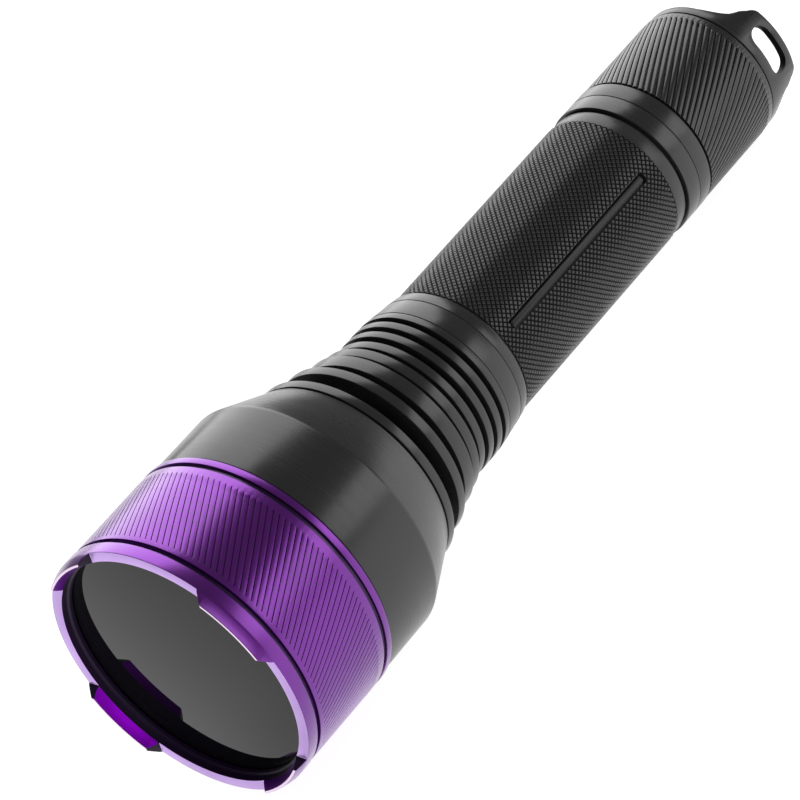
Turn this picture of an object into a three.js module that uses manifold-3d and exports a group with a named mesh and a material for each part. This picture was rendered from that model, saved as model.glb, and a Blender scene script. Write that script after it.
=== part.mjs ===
// A hand-held ultraviolet curing lamp: a filtered reflector head, a finned heat sink, a knurled battery
// tube, and a tail cap with a push switch and a lanyard ring. Millimetres. The lamp lies along Y with its
// lens towards -Y. Stations are distances along the axis from the flat rim of the bezel, so the crown
// teeth are negative.

import * as THREE from 'three';
import { mergeVertices } from 'three/addons/utils/BufferGeometryUtils.js';
import Module from 'manifold-3d';

const wasm = await Module();
wasm.setup();

// Overall
const TOOTH_TIP = -1.7;
const EAR_TOP = 155.55;
const GAP = 0.3;
const BODY_SIDES = 24;
const SMALL_SIDES = 16;
const TINY_SIDES = 12;

// Head: bezel, filter, bell and reflector
const BEZEL_RADIUS = 23.3;
const RIM_OUTER = 23.4;
const RIM_INNER = 21.6;
const LIP_RADIUS = 20.9;
const POCKET_RADIUS = 22.0;
const GLASS_FRONT = 2.6;
const GLASS_REAR = 5.6;
const BEZEL_REAR = 21.8;
const TOOTH_COUNT = 4;
const TOOTH_FIRST_ANGLE = 60;
const TOOTH_WIDTH_ANGLE = 35;
const BELL_FRONT = 22.1;
const BELL_SHOULDER = 34.5;
const BELL_REAR = 44.15;
const SPIGOT_FRONT = 7.2;
const SPIGOT_RADIUS = 21.7;
const SPIGOT_BORE = 20.3;
const BELL_BORE = 16.5;
const FOCAL_LENGTH = 2.74;
const REFLECTOR_VERTEX = 41.54;
const REFLECTOR_MOUTH = 19.4;
const REFLECTOR_REAR = 38.5;
const REFLECTOR_WALL = 0.9;

// Heat sink and electronics
const SHELF_FRONT = 42.0;
const SHELF_REAR = 48.0;
const FIN_ROOT = 12.6;
const FINS = [
  { front: 44.45, rear: 46.0, radius: 18.4 },
  { front: 49.2, rear: 50.9, radius: 17.1 },
  { front: 52.8, rear: 55.3, radius: 15.8 },
  { front: 56.1, rear: 57.9, radius: 15.1 },
  { front: 59.0, rear: 60.5, radius: 14.4 },
  { front: 61.6, rear: 63.0, radius: 14.4 },
  { front: 64.0, rear: 65.4, radius: 14.4 },
];
const NECK_FRONT = 66.4;
const NECK_REAR = 73.75;
const NECK_BORE = 12.5;
const CELL_BORE = 10.9;
const LED_BOARD_FRONT = 40.2;
const LED_BOARD_REAR = 41.7;
const LED_BOARD_RADIUS = 10.3;
const FIXING_RADIUS = 8.6;
const FIXING_HOLE = 1.15;
const DRIVER_FRONT = 52.0;
const DRIVER_REAR = 53.4;

// Battery tube
const TUBE_RADIUS = 13.1;
const TUBE_BORE = 10.95;
const TUBE_FRONT = 67.1;
const TUBE_SHOULDER = 74.05;
const TUBE_SPIGOT = 12.2;
const KNURL_REAR = 118.8;
const TUBE_RING_REAR = 121.4;
const TUBE_REAR = 131.9;
const CHANNEL_ANGLE = 69.6;
const CHANNEL_WIDTH = 1.5;
const CHANNEL_DEPTH = 0.5;
const CHANNEL_FRONT = 77.1;
const CHANNEL_REAR = 115.5;
const CELL_RADIUS = 10.5;
const CELL_FRONT = 59.4;
const CELL_REAR = 128.9;

// Tail cap, lanyard ring and switch
const CAP_FRONT = 121.8;
const CAP_BAND_RADIUS = 13.2;
const CAP_BAND_REAR = 128.4;
const CAP_GRIP_RADIUS = 13.1;
const CAP_REAR = 148.1;
const RING_SPIGOT_FRONT = 145.2;
const RING_SPIGOT_RADIUS = 11.7;
const RING_RADIUS = 12.9;
const RING_CHAMFER = 149.6;
const RING_REAR = 149.9;
const RING_WALL_FRONT = 147.6;
const BUTTON_HOLE = 6.3;
const EAR_ANGLE = 79;
const EAR_INNER_RADIUS = 11.6;
const EAR_BASE_HALF = 10.9;
const EAR_WAIST_HALF = 7.8;
const EAR_WAIST = 152.7;
const EAR_SHOULDER_HALF = 6.9;
const EAR_TOP_HALF = 4.9;
const SLOT_CENTRE = 152.22;
const SLOT_LENGTH = 8.9;
const SLOT_HEIGHT = 3.85;
const SWITCH_BOARD_FRONT = 137.0;
const SWITCH_BOARD_REAR = 138.2;
const SWITCH_DISC_RADIUS = 10.6;

const radians = THREE.MathUtils.degToRad;

function finish(colour, roughness, metalness) {
  return new THREE.MeshStandardMaterial({ color: colour, roughness, metalness });
}

const finishes = {
  purpleAnodised: finish(0x6a1fa8, 0.32, 0.9),
  blackAnodised: finish(0x1b1b1d, 0.42, 0.75),
  filterGlass: finish(0x101012, 0.05, 0.0),
  rubber: finish(0x0d0d0e, 0.75, 0.0),
  bareAluminium: finish(0xc9ccd1, 0.25, 0.95),
  whitePlastic: finish(0xe6e6e2, 0.5, 0.0),
  copper: finish(0xb5673a, 0.3, 0.95),
  steel: finish(0xaeb2b8, 0.3, 0.9),
  boardGreen: finish(0x1d5a3a, 0.5, 0.1),
  ledLens: finish(0xd9d2a0, 0.1, 0.0),
  redWire: finish(0xa81d1d, 0.5, 0.0),
  blackWire: finish(0x161616, 0.5, 0.0),
  cellWrap: finish(0x3d6fb0, 0.4, 0.1),
  switchPlastic: finish(0x222426, 0.6, 0.0),
};

// ---- Shapes -----------------------------------------------------------------------------------------

// A solid of revolution about the lamp's axis from [radius, station] corners. The polygon has a corner
// straight up and one straight down.
function turned(corners, sides = BODY_SIDES) {
  const outline = corners.map(([radius, station]) => new THREE.Vector2(radius, station));
  if (THREE.ShapeUtils.isClockWise(outline)) outline.reverse();
  const touchesAxis = corners.some(([radius]) => radius === 0);
  if (!touchesAxis) outline.push(outline[0].clone());
  return new THREE.LatheGeometry(outline, sides);
}

// The four corners of a rectangular section, for a plain ring.
function band(inner, outer, front, rear) {
  return [[inner, front], [outer, front], [outer, rear], [inner, rear]];
}

// A prism along the axis. The outline's first axis is X and its second is -Z.
function prism(shape, front, rear) {
  const geometry = new THREE.ExtrudeGeometry(shape, {
    depth: rear - front,
    bevelEnabled: false,
    curveSegments: TINY_SIDES / 2,
  });
  return geometry.rotateX(-Math.PI / 2).translate(0, front, 0);
}

function rod(radius, front, rear, x = 0, z = 0) {
  const geometry = new THREE.CylinderGeometry(radius, radius, rear - front, TINY_SIDES);
  return geometry.translate(x, (front + rear) / 2, z);
}

function circle(x, z, radius) {
  const outline = new THREE.Path();
  outline.absarc(x, z, radius, 0, 2 * Math.PI, false);
  return outline;
}

// A round wire along a curve.
function wire(path, radius, steps) {
  const section = new THREE.Shape();
  section.absarc(0, 0, radius, 0, 2 * Math.PI, false);
  return new THREE.ExtrudeGeometry(section, { steps, extrudePath: path, curveSegments: 3 });
}

class Helix extends THREE.Curve {
  constructor(radius, front, rear, turns) {
    super();
    Object.assign(this, { radius, front, rear, turns });
  }

  getPoint(t, target = new THREE.Vector3()) {
    const angle = 2 * Math.PI * this.turns * t;
    const station = THREE.MathUtils.lerp(this.front, this.rear, t);
    return target.set(this.radius * Math.cos(angle), station, this.radius * Math.sin(angle));
  }
}

// ---- Joining and cutting ----------------------------------------------------------------------------

function toSolid(geometry) {
  const bare = geometry.clone();
  bare.deleteAttribute('normal');
  bare.deleteAttribute('uv');
  const merged = mergeVertices(bare);
  const triangles = [];
  for (let i = 0; i < merged.index.count; i += 3) {
    const corners = [0, 1, 2].map((k) => merged.index.getX(i + k));
    if (new Set(corners).size === 3) triangles.push(...corners);
  }
  return new wasm.Manifold(new wasm.Mesh({
    numProp: 3,
    vertProperties: new Float32Array(merged.attributes.position.array),
    triVerts: new Uint32Array(triangles),
  }));
}

function toGeometry(solid) {
  const mesh = solid.getMesh();
  const geometry = new THREE.BufferGeometry();
  geometry.setAttribute('position', new THREE.BufferAttribute(mesh.vertProperties, 3));
  geometry.setIndex(new THREE.BufferAttribute(mesh.triVerts, 1));
  geometry.computeVertexNormals();
  return geometry;
}

function joined(base, extras) {
  const solid = extras.reduce((sum, extra) => sum.add(toSolid(extra)), toSolid(base));
  return toGeometry(solid);
}

function cut(base, tools) {
  const solid = tools.reduce((rest, tool) => rest.subtract(toSolid(tool)), toSolid(base));
  return toGeometry(solid);
}

function common(first, second) {
  return toGeometry(toSolid(first).intersect(toSolid(second)));
}

// ---- Head -------------------------------------------------------------------------------------------

// A wedge of the full circle, used to cut one crown tooth from a turned ring.
function sector(angle, width, front, rear) {
  const reach = 2 * BEZEL_RADIUS;
  const shape = new THREE.Shape();
  shape.moveTo(0, 0);
  for (const side of [-1, 1]) {
    const edge = radians(angle + side * width / 2);
    shape.lineTo(reach * Math.sin(edge), -reach * Math.cos(edge));
  }
  return prism(shape, front, rear);
}

function bezelRing() {
  const ring = turned([
    [RIM_INNER, 0], [RIM_OUTER, 0], [RIM_OUTER, 2.3], [23.0, 2.4], [23.0, 2.8], [BEZEL_RADIUS, 2.9],
    [BEZEL_RADIUS, 19.8], [23.0, 19.9], [23.0, 20.3], [BEZEL_RADIUS, 20.4], [BEZEL_RADIUS, BEZEL_REAR],
    [POCKET_RADIUS, BEZEL_REAR], [POCKET_RADIUS, GLASS_FRONT - GAP], [LIP_RADIUS, GLASS_FRONT - GAP],
  ]);
  const root = 0.4;
  const crown = turned([[RIM_INNER, root], [22.4, TOOTH_TIP], [22.9, TOOTH_TIP], [RIM_OUTER, root]]);
  const teeth = [];
  for (let i = 0; i < TOOTH_COUNT; i += 1) {
    const angle = TOOTH_FIRST_ANGLE + i * 360 / TOOTH_COUNT;
    teeth.push(common(crown, sector(angle, TOOTH_WIDTH_ANGLE, TOOTH_TIP - 1, 1)));
  }
  return joined(ring, teeth);
}

function filterGlass() {
  return turned([
    [0, GLASS_FRONT], [SPIGOT_RADIUS, GLASS_FRONT], [SPIGOT_RADIUS, GLASS_REAR], [0, GLASS_REAR],
  ]);
}

function lensGasket() {
  return turned(band(20.2, 21.5, GLASS_REAR + GAP, SPIGOT_FRONT - GAP));
}

function headBell() {
  return turned([
    [SPIGOT_BORE, SPIGOT_FRONT], [SPIGOT_RADIUS, SPIGOT_FRONT],
    [SPIGOT_RADIUS, 18.7], [20.9, 18.7], [20.9, 20.4], [SPIGOT_RADIUS, 20.4],
    [SPIGOT_RADIUS, BELL_FRONT], [22.95, BELL_FRONT], [22.8, BELL_SHOULDER], [18.45, BELL_REAR],
    [BELL_BORE, BELL_REAR], [BELL_BORE, SHELF_FRONT - GAP], [SPIGOT_BORE, BELL_SHOULDER - 1],
  ]);
}

function bezelORing() {
  return turned(band(21.05, SPIGOT_RADIUS, 18.95, 20.15));
}

// Radius of the parabolic mirror at a station.
function mirrorRadius(station) {
  return Math.sqrt(4 * FOCAL_LENGTH * (REFLECTOR_VERTEX - station));
}

function reflector() {
  const inside = [];
  const outside = [];
  const steps = 6;
  const throat = mirrorRadius(REFLECTOR_REAR);
  for (let i = 0; i <= steps; i += 1) {
    const radius = THREE.MathUtils.lerp(throat, REFLECTOR_MOUTH, i / steps);
    const station = REFLECTOR_VERTEX - radius ** 2 / (4 * FOCAL_LENGTH);
    inside.push([radius, station]);
    if (i < steps) outside.unshift([radius + REFLECTOR_WALL, station]);
  }
  const flangeRadius = 20.0;
  const flangeRear = SPIGOT_FRONT + 1.4;
  const flange = [
    [flangeRadius, SPIGOT_FRONT], [flangeRadius, flangeRear],
    [mirrorRadius(flangeRear) + REFLECTOR_WALL, flangeRear],
  ];
  return turned([...inside, ...flange, ...outside], SMALL_SIDES);
}

function centringRing() {
  return turned(band(3.9, 6.6, REFLECTOR_REAR + GAP, LED_BOARD_FRONT - GAP), SMALL_SIDES);
}

// ---- Light source -----------------------------------------------------------------------------------

function ledEmitter() {
  const side = 5.0;
  const rear = LED_BOARD_FRONT - GAP;
  const base = new THREE.BoxGeometry(side, 0.8, side).translate(0, rear - 0.4, 0);
  const domeRadius = 1.9;
  const domeBase = rear - 0.6;
  const dome = [[0, domeBase]];
  const steps = 4;
  for (let i = 0; i <= steps; i += 1) {
    const angle = (i / steps) * Math.PI / 2;
    dome.push([domeRadius * Math.cos(angle), domeBase - domeRadius * Math.sin(angle)]);
  }
  dome[dome.length - 1][0] = 0;
  return joined(base, [turned(dome, TINY_SIDES)]);
}

// The screws sit above and below the LED, and the leads to its left and right.
const screwPlaces = [[0, FIXING_RADIUS], [0, -FIXING_RADIUS]];
const leadPlaces = [[FIXING_RADIUS, 0], [-FIXING_RADIUS, 0]];

function ledBoard() {
  const disc = new THREE.Shape();
  disc.absarc(0, 0, LED_BOARD_RADIUS, 0, 2 * Math.PI, false);
  for (const [x, z] of [...screwPlaces, ...leadPlaces]) disc.holes.push(circle(x, z, FIXING_HOLE));
  return prism(disc, LED_BOARD_FRONT, LED_BOARD_REAR);
}

function boardScrew() {
  const seat = LED_BOARD_FRONT - GAP;
  const head = 1.6;
  const shank = 0.85;
  const tip = 45.5;
  return turned([
    [0, seat - 1], [head, seat - 1], [head, seat], [shank, seat], [shank, tip], [0, tip],
  ], TINY_SIDES);
}

function lead(side) {
  const end = 39.5;
  const path = new THREE.CatmullRomCurve3([
    new THREE.Vector3(side * FIXING_RADIUS, DRIVER_FRONT - GAP, 0),
    new THREE.Vector3(side * FIXING_RADIUS, SHELF_REAR, 0),
    new THREE.Vector3(side * FIXING_RADIUS, LED_BOARD_REAR, 0),
    new THREE.Vector3(side * FIXING_RADIUS, LED_BOARD_FRONT, side * 0.2),
    new THREE.Vector3(side * FIXING_RADIUS, end, side * 1.2),
    new THREE.Vector3(side * FIXING_RADIUS, end, side * 2.2),
  ]);
  return wire(path, 0.5, 14);
}

// ---- Heat sink --------------------------------------------------------------------------------------

function heatSink() {
  const spigot = 16.2;
  const outline = [
    [0, SHELF_FRONT], [spigot, SHELF_FRONT], [spigot, 42.5], [15.4, 42.5], [15.4, 43.8], [spigot, 43.8],
    [spigot, FINS[0].front],
  ];
  for (const { front, rear, radius } of FINS) {
    if (front > FINS[0].front) outline.push([FIN_ROOT, front]);
    outline.push([radius, front], [radius, rear], [FIN_ROOT, rear]);
  }
  outline.push(
    [FIN_ROOT, NECK_FRONT], [14.3, NECK_FRONT], [14.2, 67.8], [13.4, NECK_REAR], [NECK_BORE, NECK_REAR],
    [NECK_BORE, NECK_FRONT + 0.4], [CELL_BORE, NECK_FRONT + 0.4], [CELL_BORE, DRIVER_FRONT - GAP],
    [9.9, DRIVER_FRONT - GAP], [9.9, SHELF_REAR], [0, SHELF_REAR],
  );
  const screwHoles = screwPlaces.map(([x, z]) => rod(FIXING_HOLE, SHELF_FRONT - 1, 46, x, z));
  const leadHoles = leadPlaces.map(([x, z]) => rod(FIXING_HOLE, SHELF_FRONT - 1, SHELF_REAR + 1, x, z));
  return cut(turned(outline), [...screwHoles, ...leadHoles]);
}

function headORing() {
  return turned(band(15.55, 16.2, 42.7, 43.6));
}

function driverBoard() {
  const rim = 10.5;
  return turned([
    [0, DRIVER_FRONT], [rim, DRIVER_FRONT], [rim, DRIVER_REAR], [0, DRIVER_REAR],
  ], SMALL_SIDES);
}

function driverCoil() {
  const front = SHELF_REAR + 0.5;
  const rear = DRIVER_FRONT - GAP;
  return turned([
    [0, front], [3.5, front], [3.5, front + 0.6], [2.9, front + 0.6],
    [2.9, rear - 0.6], [3.5, rear - 0.6], [3.5, rear], [0, rear],
  ], SMALL_SIDES);
}

function driverRing() {
  const front = DRIVER_REAR + GAP;
  return turned(band(8.0, 10.6, front, front + 2.2), SMALL_SIDES);
}

function frontContactSpring() {
  return wire(new Helix(3.2, 54.2, 57.8, 2.75), 0.4, 28);
}

// ---- Battery tube -----------------------------------------------------------------------------------

// A round-ended milling cut along the tube, at an angle round the axis from straight up.
function channelCutter(angle) {
  const half = CHANNEL_WIDTH / 2;
  const shape = new THREE.Shape();
  shape.absarc(0, CHANNEL_FRONT + half, half, Math.PI, 2 * Math.PI, false);
  shape.absarc(0, CHANNEL_REAR - half, half, 0, Math.PI, false);
  const cutter = new THREE.ExtrudeGeometry(shape, { depth: 2, bevelEnabled: false, curveSegments: 4 });
  return cutter.translate(0, 0, TUBE_RADIUS - CHANNEL_DEPTH).rotateY(radians(angle));
}

function bodyTube() {
  const tube = turned([
    [TUBE_BORE, TUBE_FRONT], [TUBE_SPIGOT, TUBE_FRONT], [TUBE_SPIGOT, 70.2], [11.6, 70.2], [11.6, 71.4],
    [TUBE_SPIGOT, 71.4], [TUBE_SPIGOT, TUBE_SHOULDER], [TUBE_RADIUS, TUBE_SHOULDER],
    [TUBE_RADIUS, KNURL_REAR],
    [12.8, KNURL_REAR + 0.1], [12.8, TUBE_RING_REAR], [TUBE_SPIGOT, TUBE_RING_REAR],
    [TUBE_SPIGOT, 124.6], [11.6, 124.6], [11.6, 125.8], [TUBE_SPIGOT, 125.8], [TUBE_SPIGOT, TUBE_REAR],
    [TUBE_BORE, TUBE_REAR],
  ]);
  return cut(tube, [channelCutter(CHANNEL_ANGLE), channelCutter(CHANNEL_ANGLE + 180)]);
}

function tubeORing(groove) {
  return turned(band(11.72, TUBE_SPIGOT, groove + 0.15, groove + 1.05));
}

function batteryCell() {
  const button = 4.0;
  return turned([
    [0, CELL_FRONT - 0.8], [button, CELL_FRONT - 0.8], [button, CELL_FRONT], [CELL_RADIUS, CELL_FRONT],
    [CELL_RADIUS, CELL_REAR], [0, CELL_REAR],
  ], SMALL_SIDES);
}

// ---- Tail cap and lanyard ring ----------------------------------------------------------------------

// One lanyard ear: a piece of the ring's wall with hollowed sides, round shoulders and a slot.
function ear(angle) {
  const base = RING_CHAMFER - 0.2;
  const shoulder = EAR_TOP - 1.4;
  const shape = new THREE.Shape();
  shape.moveTo(-EAR_BASE_HALF, base);
  shape.lineTo(EAR_BASE_HALF, base);
  shape.quadraticCurveTo(EAR_WAIST_HALF + 1, RING_REAR + 0.8, EAR_WAIST_HALF, EAR_WAIST);
  shape.lineTo(EAR_SHOULDER_HALF, shoulder);
  shape.quadraticCurveTo(EAR_SHOULDER_HALF - 0.6, EAR_TOP, EAR_TOP_HALF, EAR_TOP);
  shape.lineTo(-EAR_TOP_HALF, EAR_TOP);
  shape.quadraticCurveTo(-EAR_SHOULDER_HALF + 0.6, EAR_TOP, -EAR_SHOULDER_HALF, shoulder);
  shape.lineTo(-EAR_WAIST_HALF, EAR_WAIST);
  shape.quadraticCurveTo(-EAR_WAIST_HALF - 1, RING_REAR + 0.8, -EAR_BASE_HALF, base);
  const slot = new THREE.Path();
  const end = SLOT_HEIGHT / 2;
  const reach = SLOT_LENGTH / 2 - end;
  slot.absarc(reach, SLOT_CENTRE, end, -Math.PI / 2, Math.PI / 2, false);
  slot.absarc(-reach, SLOT_CENTRE, end, Math.PI / 2, 3 * Math.PI / 2, false);
  shape.holes.push(slot);
  const plate = new THREE.ExtrudeGeometry(shape, {
    depth: RING_RADIUS + 1,
    bevelEnabled: false,
    curveSegments: 4,
  });
  plate.rotateY(radians(angle));
  return common(plate, turned(band(EAR_INNER_RADIUS, RING_RADIUS, base - 1, EAR_TOP + 1)));
}

function tailCap() {
  const seat = RING_SPIGOT_FRONT - GAP;
  const seatRadius = RING_SPIGOT_RADIUS + GAP;
  return turned([
    [NECK_BORE, CAP_FRONT], [CAP_BAND_RADIUS, CAP_FRONT], [CAP_BAND_RADIUS, CAP_BAND_REAR],
    [12.75, CAP_BAND_REAR + 0.1], [12.75, CAP_BAND_REAR + 0.5], [CAP_GRIP_RADIUS, CAP_BAND_REAR + 0.6],
    [CAP_GRIP_RADIUS, CAP_REAR], [seatRadius, CAP_REAR], [seatRadius, seat], [CELL_BORE, seat],
    [CELL_BORE, TUBE_REAR + GAP], [NECK_BORE, TUBE_REAR + GAP],
  ]);
}

function lanyardRing() {
  const ring = turned([
    [CELL_BORE, RING_SPIGOT_FRONT], [RING_SPIGOT_RADIUS, RING_SPIGOT_FRONT],
    [RING_SPIGOT_RADIUS, CAP_REAR + GAP], [RING_RADIUS, CAP_REAR + GAP], [RING_RADIUS, RING_CHAMFER],
    [RING_RADIUS - 0.3, RING_REAR], [BUTTON_HOLE, RING_REAR], [BUTTON_HOLE, RING_WALL_FRONT],
    [CELL_BORE, RING_WALL_FRONT],
  ]);
  return joined(ring, [ear(EAR_ANGLE), ear(EAR_ANGLE + 180)]);
}

function switchRing() {
  return turned(band(6.0, SWITCH_DISC_RADIUS, 134.4, SWITCH_BOARD_FRONT - GAP), SMALL_SIDES);
}

function switchBoard() {
  return turned([
    [0, SWITCH_BOARD_FRONT], [SWITCH_DISC_RADIUS, SWITCH_BOARD_FRONT],
    [SWITCH_DISC_RADIUS, SWITCH_BOARD_REAR], [0, SWITCH_BOARD_REAR],
  ], SMALL_SIDES);
}

function switchHousing() {
  const half = 4.2;
  const shape = new THREE.Shape();
  shape.moveTo(-half, -half);
  shape.lineTo(half, -half);
  shape.lineTo(half, half);
  shape.lineTo(-half, half);
  shape.holes.push(circle(0, 0, 2.9));
  return prism(shape, SWITCH_BOARD_REAR + GAP, 143.7);
}

function tailSpring() {
  return wire(new Helix(4.0, 129.7, 136.2, 3.75), 0.45, 38);
}

function switchPlunger() {
  return turned([[0, 141], [2.4, 141], [2.4, 150.7], [2.0, 151.1], [0, 151.1]], TINY_SIDES);
}

// The rubber boot is a thin dome whose flange sits behind the lanyard ring's end wall.
function switchBoot() {
  const flangeFront = 146.3;
  const flangeRear = RING_WALL_FRONT - GAP;
  return turned([
    [0, 151.4], [4.0, 151.4], [4.8, 150.5], [4.8, flangeFront], [9.5, flangeFront], [9.5, flangeRear],
    [6.0, flangeRear], [6.0, 150.4], [5.2, 151.8], [3.2, 152.4], [0, 152.6],
  ], SMALL_SIDES);
}

// ---- Assembly ---------------------------------------------------------------------------------------

const lamp = new THREE.Group();
lamp.position.y = -(TOOTH_TIP + EAR_TOP) / 2;

function add(name, geometry, material, x = 0, z = 0) {
  const mesh = new THREE.Mesh(geometry, material);
  mesh.name = name;
  mesh.position.set(x, 0, z);
  lamp.add(mesh);
}

add('bezel_ring', bezelRing(), finishes.purpleAnodised);
add('filter_glass', filterGlass(), finishes.filterGlass);
add('lens_gasket', lensGasket(), finishes.rubber);
add('bezel_o_ring', bezelORing(), finishes.rubber);
add('head_bell', headBell(), finishes.blackAnodised);
add('reflector', reflector(), finishes.bareAluminium);
add('centring_ring', centringRing(), finishes.whitePlastic);
add('led_emitter', ledEmitter(), finishes.ledLens);
add('led_board', ledBoard(), finishes.copper);
add('board_screw_upper', boardScrew(), finishes.steel, ...screwPlaces[0]);
add('board_screw_lower', boardScrew(), finishes.steel, ...screwPlaces[1]);
add('positive_lead', lead(1), finishes.redWire);
add('negative_lead', lead(-1), finishes.blackWire);
add('heat_sink', heatSink(), finishes.blackAnodised);
add('head_o_ring', headORing(), finishes.rubber);
add('driver_board', driverBoard(), finishes.boardGreen);
add('driver_coil', driverCoil(), finishes.copper);
add('driver_ring', driverRing(), finishes.bareAluminium);
add('front_contact_spring', frontContactSpring(), finishes.steel);
add('neck_o_ring', tubeORing(70.2), finishes.rubber);
add('body_tube', bodyTube(), finishes.blackAnodised);
add('battery_cell', batteryCell(), finishes.cellWrap);
add('tail_o_ring', tubeORing(124.6), finishes.rubber);
add('tail_cap', tailCap(), finishes.blackAnodised);
add('lanyard_ring', lanyardRing(), finishes.blackAnodised);
add('switch_ring', switchRing(), finishes.bareAluminium);
add('switch_board', switchBoard(), finishes.boardGreen);
add('switch_housing', switchHousing(), finishes.switchPlastic);
add('tail_spring', tailSpring(), finishes.steel);
add('switch_plunger', switchPlunger(), finishes.whitePlastic);
add('switch_boot', switchBoot(), finishes.rubber);

export default lamp;
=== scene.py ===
import math
import bmesh
import bpy
from mathutils import Matrix, Vector


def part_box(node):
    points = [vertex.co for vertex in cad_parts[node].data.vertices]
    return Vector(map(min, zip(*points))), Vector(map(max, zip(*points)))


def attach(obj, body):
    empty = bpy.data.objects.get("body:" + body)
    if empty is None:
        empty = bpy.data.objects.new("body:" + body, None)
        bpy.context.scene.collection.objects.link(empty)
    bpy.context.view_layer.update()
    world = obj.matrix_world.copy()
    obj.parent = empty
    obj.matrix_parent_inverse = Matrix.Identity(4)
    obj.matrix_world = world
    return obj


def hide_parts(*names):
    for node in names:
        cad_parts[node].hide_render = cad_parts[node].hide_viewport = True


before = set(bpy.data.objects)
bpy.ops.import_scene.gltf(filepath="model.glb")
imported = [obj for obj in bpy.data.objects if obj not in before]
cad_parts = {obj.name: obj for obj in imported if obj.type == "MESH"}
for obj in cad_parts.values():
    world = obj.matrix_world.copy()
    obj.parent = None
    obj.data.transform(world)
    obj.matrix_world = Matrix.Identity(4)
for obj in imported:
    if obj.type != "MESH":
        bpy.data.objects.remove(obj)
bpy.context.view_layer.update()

# Lengths are in millimetres, and MM turns them into metres. A station is a distance along the lamp's axis
# from the flat rim of the bezel towards the tail, and an angle goes round the axis from straight up towards
# +X. A section is a closed loop of (radius, station) corners, some with an ease as a third value.
MM = 0.001
CRISP = 30.0            # degrees between two faces, above which their edge is crisp
TOOTH_HEIGHT = 1.7
RIM_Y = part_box("bezel_ring")[0].y / MM + TOOTH_HEIGHT
EAR_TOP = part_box("lanyard_ring")[1].y / MM - RIM_Y


def place(radius, station, angle):
    """The point at a radius, station and angle, in metres in the frame."""
    return Vector((radius * math.sin(angle), station + RIM_Y, radius * math.cos(angle))) * MM


# ---- Mesh work ---------------------------------------------------------------------------------------


def shade(mesh, crisp):
    """Makes a mesh smooth but for the edges where its faces meet at over `crisp` degrees."""
    mesh.shade_smooth()
    mesh.set_sharp_from_angle(angle=math.radians(crisp))


def finished(name, mesh, crisp=CRISP):
    """A shaded object made from a mesh."""
    shade(mesh, crisp)
    piece = bpy.data.objects.new(name, mesh)
    bpy.context.scene.collection.objects.link(piece)
    return piece


def tidied(mesh):
    """Merges points that coincide, drops empty faces and turns every face outwards."""
    merge = 1e-7
    work = bmesh.new()
    work.from_mesh(mesh)
    bmesh.ops.remove_doubles(work, verts=work.verts, dist=merge)
    bmesh.ops.dissolve_degenerate(work, edges=work.edges, dist=merge)
    bmesh.ops.recalc_face_normals(work, faces=work.faces)
    work.to_mesh(mesh)
    work.free()
    return mesh


def revolved(name, columns, painted_shade):
    """A closed skin from columns of (radius, station, angle) points, one column after another round the
    axis. painted_shade(column, row) is the painted shade at a point, 0 in the open and up to 1 deep in a
    groove."""
    rows = len(columns[0])
    faces = []
    for c in range(len(columns)):
        here, there = c * rows, (c + 1) % len(columns) * rows
        for r in range(rows):
            after = (r + 1) % rows
            faces.append((here + r, here + after, there + after, there + r))
    mesh = bpy.data.meshes.new(name)
    mesh.from_pydata([place(*point) for column in columns for point in column], [], faces)
    # the painted shade: darkening in the grooves, which the materials read
    depth = mesh.attributes.new("painted_shade", "FLOAT", "POINT")
    depth.data.foreach_set("value", [painted_shade(c, r) for c in range(len(columns)) for r in range(rows)])
    return tidied(mesh)


def eased(section, ease, steps=3):
    """The section's points, with each corner rounded over its own ease or the given one."""
    loop = []
    for i, (radius, station, *own) in enumerate(section):
        here = Vector((radius, station))
        reach = own[0] if own else ease
        if reach == 0:
            loop.append((radius, station))
            continue
        before = Vector(section[i - 1][:2]) - here
        after = Vector(section[(i + 1) % len(section)][:2]) - here
        start = here + before.normalized() * min(reach, before.length * 0.45)
        end = here + after.normalized() * min(reach, after.length * 0.45)
        for k in range(steps + 1):
            t = k / steps
            loop.append(tuple(start * (1 - t) ** 2 + here * 2 * t * (1 - t) + end * t ** 2))
    return loop


def in_groove(radius, station, grooves):
    """1 for a point between the stations of one of the (front, rear, radius) grooves and below its radius,
    or else 0."""
    return float(any(front < station < rear and radius < top for front, rear, top in grooves))


def turned(name, section, ease, segments, grooves=()):
    """A turned part, with painted shade in its grooves."""
    loop = eased(section, ease)
    columns = [[(r, s, 2 * math.pi * c / segments) for r, s in loop] for c in range(segments)]
    return finished(name, revolved(name, columns, lambda column, row: in_groove(*loop[row], grooves)))


def fluted(name, before, rows, after, radius, cut, depth, count, lean, grooves, groove_shade):
    """A closed skin with `count` leaning cuts round it. before and after are the plain points of its
    section, and rows are the (station, share of the depth) of the points between them, all at the radius.
    cut is one cut and the land beside it, as (place in the pitch, share of the depth). lean is a cut's turn
    round the axis for each mm along it. groove_shade is the painted shade in the leaning cuts and in the
    turned grooves."""
    front, rear = rows[0][0], rows[-1][0]
    crisp = 25.0
    columns = []
    shares = []
    for k in range(count):
        for part, amount in cut:
            section = before + [(radius - depth * amount * share, s) for s, share in rows] + after
            angle = 2 * math.pi * (k + part) / count
            columns.append([(r, s, angle + lean * (min(max(s, front), rear) - front)) for r, s in section])
            shares.append(max(amount, 0.0))

    # painted shade: darkness in the cuts and in the turned grooves
    def painted_shade(column, row):
        in_cut, in_turned = groove_shade
        if len(before) <= row < len(before) + len(rows):
            return in_cut * shares[column] * min(1.0, rows[row - len(before)][1])
        r, s, _ = columns[column][row]
        return in_turned * in_groove(r, s, grooves)

    return finished(name, revolved(name, columns, painted_shade), crisp)


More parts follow.
